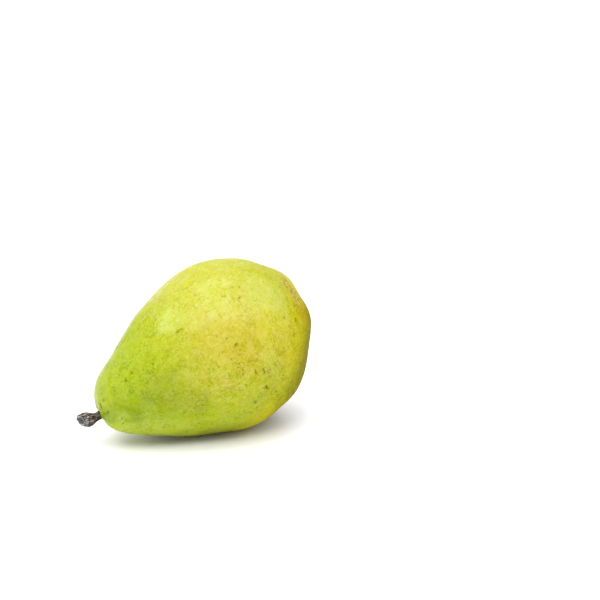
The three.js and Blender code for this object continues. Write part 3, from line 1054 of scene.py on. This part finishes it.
def sepal(turn, draw):
    """One sepal: its width is a stretch of a sine that ends in a point, and its edge is wavy."""
    share, section = ring_steps(0, 1, SEPAL_RINGS, SEPAL_SIDES)
    hook = draw.uniform(*SEPAL_HOOKS)
    tip = (SEPAL_TIP[0] - abs(hook) * 0.4, SEPAL_TIP[1] + hook)
    width = SEPAL_WIDTH * (0.2 + 0.8 * np.sin(math.pi * (0.3 + 0.66 * share))) * (1 - share**6)
    ragged = 1 + 0.06 * np.sin(17 * share + draw.uniform(0, 6)) + 0.05 * np.sin(41 * share)
    sideways = width / 2 * ragged * np.cos(section)
    thin = SEPAL_THICKNESS * (1.1 - 0.8 * share) / 2
    rib = 0.1 * bell(np.cos(section), 0.22) + 0.03 * np.cos(7 * math.pi * np.cos(section))
    cupping = SEPAL_CUPPING * np.cos(section) ** 2 * (1 - 0.5 * share)
    lift = (thin + rib * thin) * np.sin(section) + cupping
    lift = lift + draw.uniform(*SEPAL_TWISTS) * share**2 * np.cos(section)
    rings = along_curl(share, [SEPAL_FOOT, SEPAL_KNEE, tip], sideways, lift, turn)
    return rings, {"dry": share + 0 * section, "fibre": sideways}


print("a sepal reaches out and up, mm:", SEPAL_TIP, "and is wide, mm:", SEPAL_WIDTH)

# %% [markdown]
# ## The cup
#
# The cup is the dried foot of the flower, sunk into the basin's floor. It is a turned shape, so its
# outline is a few points, from the root's middle over the rim to the hollow, and the rim is lobed.

# %% Cup
CUP_RADIUS, CUP_HEIGHT, CUP_ROOT = 2.1, 1.5, 3.0
# points of the rim and the hollow, in shares of the radius and of the height
CUP_RIM = [(1.0, 0.35), (0.98, 0.8), (0.9, 1.0), (0.75, 0.93), (0.4, 0.7), (0.0, 0.62)]
CUP_RINGS, CUP_SIDES = 60, 60
CUP_LOBES, CUP_LOBE_SIZE, CUP_LOBES_FROM = 10, 0.04, 0.2
CUP_DRYNESS = 0.15


def cup():
    """The cup: a plain root, a rim with low lobes, and a hollow middle."""
    outline = [(0.0, -CUP_ROOT), (CUP_RADIUS, -CUP_ROOT)]
    outline += [(out * CUP_RADIUS, up * CUP_HEIGHT) for out, up in CUP_RIM]
    spans, around = ring_steps(0, len(outline) - 1, CUP_RINGS, CUP_SIDES)
    knots = np.arange(len(outline))
    radius, up = (np.interp(spans, knots, values) for values in zip(*outline))
    radius = radius * (1 + CUP_LOBE_SIZE * np.cos(CUP_LOBES * around) * (up > CUP_LOBES_FROM))
    out, sideways = radius * np.cos(around), radius * np.sin(around)
    stored = {"dry": CUP_DRYNESS + 0 * out, "fibre": around * 2 + 0 * out}
    return calyx_to_part(out, sideways, up + 0 * out, 0.0), stored


print("the cup is across and high, mm:", 2 * CUP_RADIUS, CUP_HEIGHT)

# %% [markdown]
# ## A stamen
#
# What is left of a stamen is a brown thread with a small knob, the dried anther. It stands up out of
# the cup, and its length, its lean and its place come from the draw, so that the tuft is untidy.

# %% Stamen
STAMEN_LENGTHS, STAMEN_LEANS, STAMEN_STARTS = (1.6, 3.0), (-0.5, 0.9), (0.6, 1.5)
STAMEN_FOOT_HEIGHT, STAMEN_THICKNESS, ANTHER_THICKNESS = 0.8, 0.13, 0.11
STAMEN_RINGS, STAMEN_SIDES = 14, 8


def stamen(turn, draw):
    """A withered thread that leans and bends, with a swollen tip."""
    share, section = ring_steps(0, 1, STAMEN_RINGS, STAMEN_SIDES)
    spans = (STAMEN_LENGTHS, STAMEN_LEANS, STAMEN_STARTS)
    length, lean, start = (draw.uniform(*span) for span in spans)
    foot = (start, STAMEN_FOOT_HEIGHT)
    knee = (start + 0.2, STAMEN_FOOT_HEIGHT + length / 2)
    tip = (start + lean * length, STAMEN_FOOT_HEIGHT + length)
    thick = STAMEN_THICKNESS * (1 - 0.4 * share) + ANTHER_THICKNESS * bell(share - 0.93, 0.07)
    thick = thick * (share > 0) * (share < 1)
    sideways, lift = thick * np.cos(section), thick * np.sin(section)
    rings = along_curl(share, [foot, knee, tip], sideways, lift, turn)
    return rings, {"dry": 0.5 + 0.5 * share + 0 * section, "fibre": sideways}


print("stamens are long, mm:", STAMEN_LENGTHS)

# %% [markdown]
# ## The calyx as a piece
#
# The cup, the sepals and the stamens grew as one, so they are one piece. All random numbers come
# from a single seeded draw, first for the sepals and then for the stamens.

# %% Calyx
SEPAL_COUNT, STAMEN_COUNT = 5, 15
CALYX_SEED = 21

calyx_draw = np.random.default_rng(CALYX_SEED)
sepal_turns = 2 * math.pi * np.arange(SEPAL_COUNT) / SEPAL_COUNT
stamen_turns = 2 * math.pi * (np.arange(STAMEN_COUNT) + 0.3) / STAMEN_COUNT
calyx_skins = [cup()]
calyx_skins += [sepal(turn, calyx_draw) for turn in sepal_turns]
calyx_skins += [stamen(turn, calyx_draw) for turn in stamen_turns]
calyx = swept_piece("pear_calyx", calyx_skins)
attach(calyx, "root")
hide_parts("calyx")

# %% [markdown]
# ## Dried sepals
#
# Dead leaf is brown where it is thick and nearly black at its curled tips, with fine ribs along it.
# The two numbers stored on the calyx give both: how far along a sepal, and how far off its midline.

# %% Calyx material
DRY_LEAF = colour(110, 84, 44)
DRY_FOOT = colour(104, 96, 44)
DARK_TIP = colour(42, 28, 18)

calyx_paint = Paint("dried_calyx")
dry = calyx_paint.stored("dry")
fibre = calyx_paint.stored("fibre")
along_fibre = calyx_paint.node("CombineXYZ", None, {0: fibre * 5, 1: dry * 2.5})
ribs = calyx_paint.noise(along_fibre, 1.6, 2.0, 0.6)
leaf = calyx_paint.mix(dry.step(0.0, 0.3), DRY_FOOT, DRY_LEAF)
leaf = calyx_paint.mix((dry + ribs * 0.5).step(0.62, 1.2), leaf, DARK_TIP)
leaf = calyx_paint.mix(ribs.step(0.52, 0.36) * 0.6, leaf, DARK_TIP)
rib_bump = calyx_paint.node("Bump", None, {"Strength": 1.0, "Distance": 0.0001, "Height": ribs})
calyx_paint.finish(base_color=leaf, roughness=0.85, normal=rib_bump)
calyx.data.materials.append(calyx_paint.material)
print("calyx nodes:", len(calyx_paint.tree.nodes))

# %% [markdown]
# ## Floor
#
# The pear lies on a sheet of white paper, so wide that its edge is lost in the distance.

# %% Floor
FLOOR_RADIUS = 30.0
PAPER = (0.93, 0.92, 0.96, 1.0)

bpy.ops.mesh.primitive_circle_add(vertices=96, radius=FLOOR_RADIUS, fill_type="NGON")
floor = bpy.context.object
floor.name = "floor"
floor_paint = Paint("white_paper")
floor.data.materials.append(floor_paint.finish(base_color=PAPER, roughness=0.7))
print("floor radius, m:", FLOOR_RADIUS)

# %% [markdown]
# ## Softboxes
#
# Suns with a wide angle do the work of softboxes: each lights the whole floor evenly, so the paper
# stays white all round, and each shows in the skin's gloss as a soft disc. One wide one hangs
# overhead and two smaller ones stand in front, left and right. Area lamps would do the same close by,
# but would leave the far paper grey.

# %% Softboxes
SOFTBOXES = {  # heading and height in degrees (heading 0 is +Y, 90 is +X), angle across, strength
    "overhead": (-149, 82, 76, 2.8),
    "front_left": (-135, 52, 26, 0.66),
    "front_right": (150, 40, 25, 0.5),
}


def softbox(name, heading, height, across, strength):
    """A sun whose light comes from a heading and a height, and whose disc is so many degrees wide."""
    data = bpy.data.lights.new(name, "SUN")
    data.angle = math.radians(across)
    data.energy = strength
    lamp = bpy.data.objects.new(name, data)
    turn, rise = math.radians(heading), math.radians(height)
    towards = Vector((math.sin(turn) * math.cos(rise), math.cos(turn) * math.cos(rise), math.sin(rise)))
    lamp.rotation_euler = towards.to_track_quat("Z", "Y").to_euler()
    bpy.context.scene.collection.objects.link(lamp)


for name, settings in SOFTBOXES.items():
    softbox(name, *settings)
print("softboxes:", list(SOFTBOXES))

# %% [markdown]
# ## Room
#
# The white room behind the pear is the world's light, dimmer on the camera's side. A dark card
# stands in it on the right, as in a studio, and takes the milky glare off the blossom end. Both
# begin above the horizon, and below that the room stays as white as the paper, so that the edge of
# the floor doesn't show.

# %% Room
BACKDROP_LIGHT, CAMERA_SIDE_LIGHT = 1.05, 0.62
BRIGHT_SIDE, BRIGHT_BORDER = math.radians(-30), (-0.5, 0.7)
DARK_CARD_SIDE, DARK_CARD_SHADE, DARK_CARD_BORDER = math.radians(100), 0.85, (0.2, 0.8)
HORIZON_TOP = 0.05

room_paint = Paint("studio", "worlds", "Background")
look = room_paint.node("TexCoord")


def turned(direction, low, high):
    """0 to 1 as a direction of the room turns towards the one given."""
    settings, sockets = {"operation": "DOT_PRODUCT"}, {0: look, 1: direction}
    return room_paint.node("VectorMath", settings, sockets, 1).step(low, high)


def level_heading(turn):
    """The level direction with a heading, as the softboxes count it."""
    return (math.sin(turn), math.cos(turn), 0.0)


bright = turned(level_heading(BRIGHT_SIDE), *BRIGHT_BORDER)
card = turned(level_heading(DARK_CARD_SIDE), *DARK_CARD_BORDER)
walls = bright * (BACKDROP_LIGHT - CAMERA_SIDE_LIGHT) + CAMERA_SIDE_LIGHT
walls = walls * (1 - card * DARK_CARD_SHADE)
above_horizon = turned((0.0, 0.0, 1.0), HORIZON_TOP, HORIZON_TOP * 3)
room = (walls - BACKDROP_LIGHT) * above_horizon + BACKDROP_LIGHT
bpy.context.scene.world = room_paint.finish(color=(1.0, 1.0, 1.0, 1.0), strength=room)
bpy.context.scene.view_settings.view_transform = "Standard"
print("room nodes:", len(room_paint.tree.nodes))

# %% [markdown]
